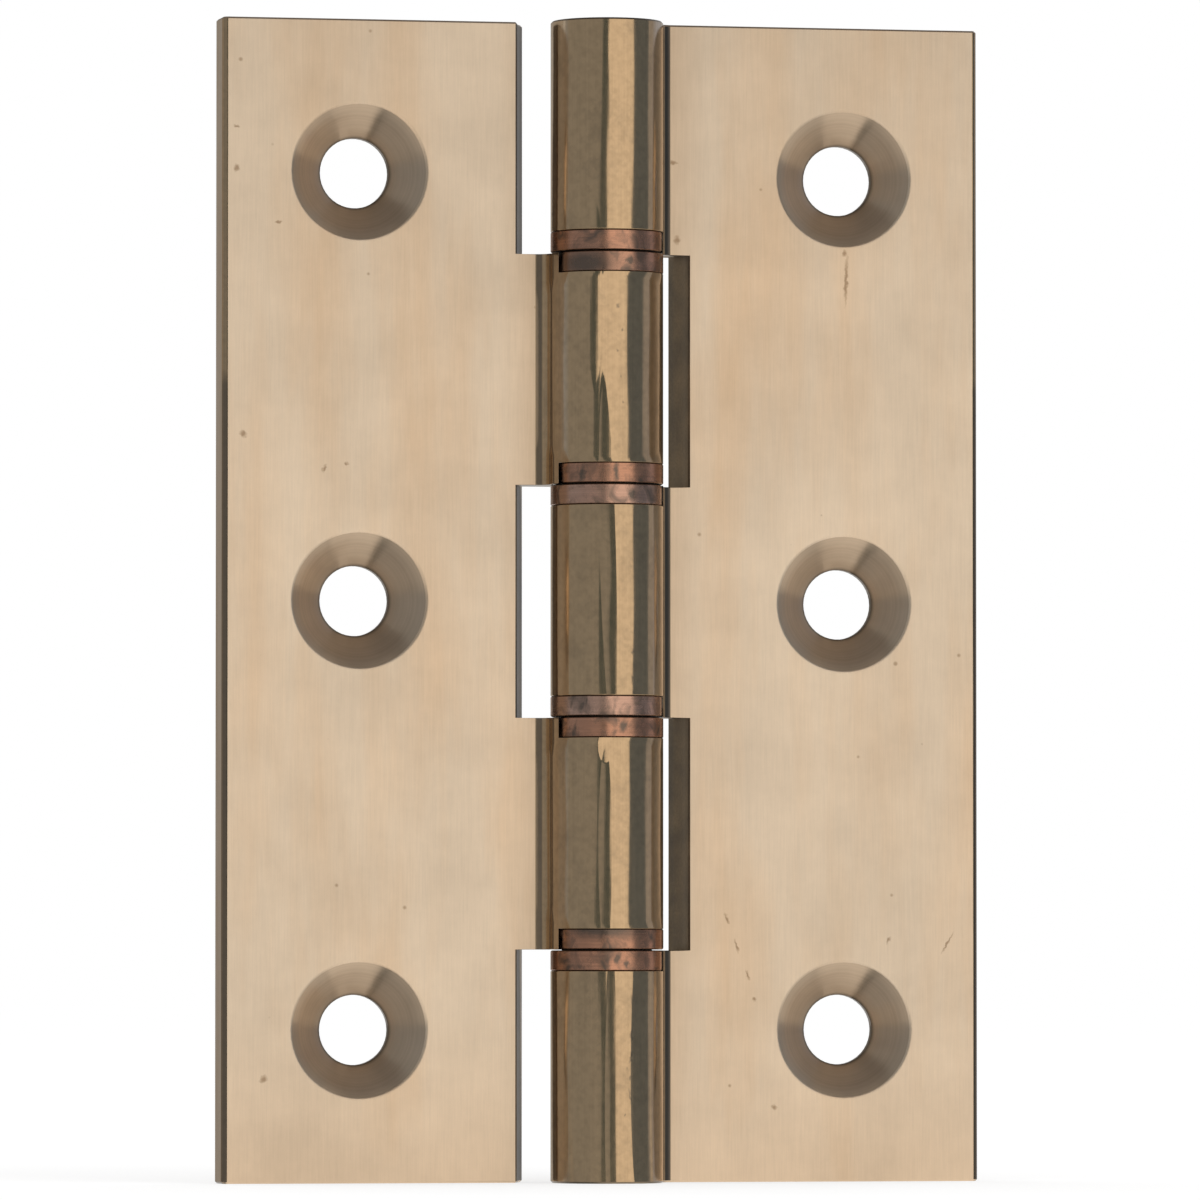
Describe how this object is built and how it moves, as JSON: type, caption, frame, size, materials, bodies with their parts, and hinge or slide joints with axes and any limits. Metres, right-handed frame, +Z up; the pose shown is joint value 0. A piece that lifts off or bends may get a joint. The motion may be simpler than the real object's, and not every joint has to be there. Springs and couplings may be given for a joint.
{
  "type": "butt hinge",
  "caption": "Drawn brass butt hinge laid open flat, with countersunk screw holes, an interleaved barrel on a plain pin and paired bronze washers at each knuckle joint.",
  "frame": {"origin": "middle of the pin, which is also the middle of the hinge's box when it is open flat", "axes": "+Z up along the pin, +X towards the frame leaf, -Y towards the countersunk side, so the leaves' backs face +Y"},
  "size_m": [0.0508, 0.0074, 0.0762],
  "materials": {
    "brass": "drawn brass, leaves brushed and barrel polished",
    "washer": "phosphor bronze, turned",
    "pin": "bright drawn steel"
  },
  "bodies": {
    "frame_side": {"frame_leaf": "brass", "hinge_pin": "pin", "washer_1_upper": "washer", "washer_2_lower": "washer", "washer_3_upper": "washer", "washer_4_lower": "washer"},
    "door_side": {"door_leaf": "brass", "washer_1_lower": "washer", "washer_2_upper": "washer", "washer_3_lower": "washer", "washer_4_upper": "washer"}
  },
  "joints": [
    {"name": "leaf_swing", "type": "hinge", "parent": "frame_side", "child": "door_side", "pos_m": [0, 0, 0], "axis": [0, 0, 1], "range_deg": [-100, 184]}
  ]
}
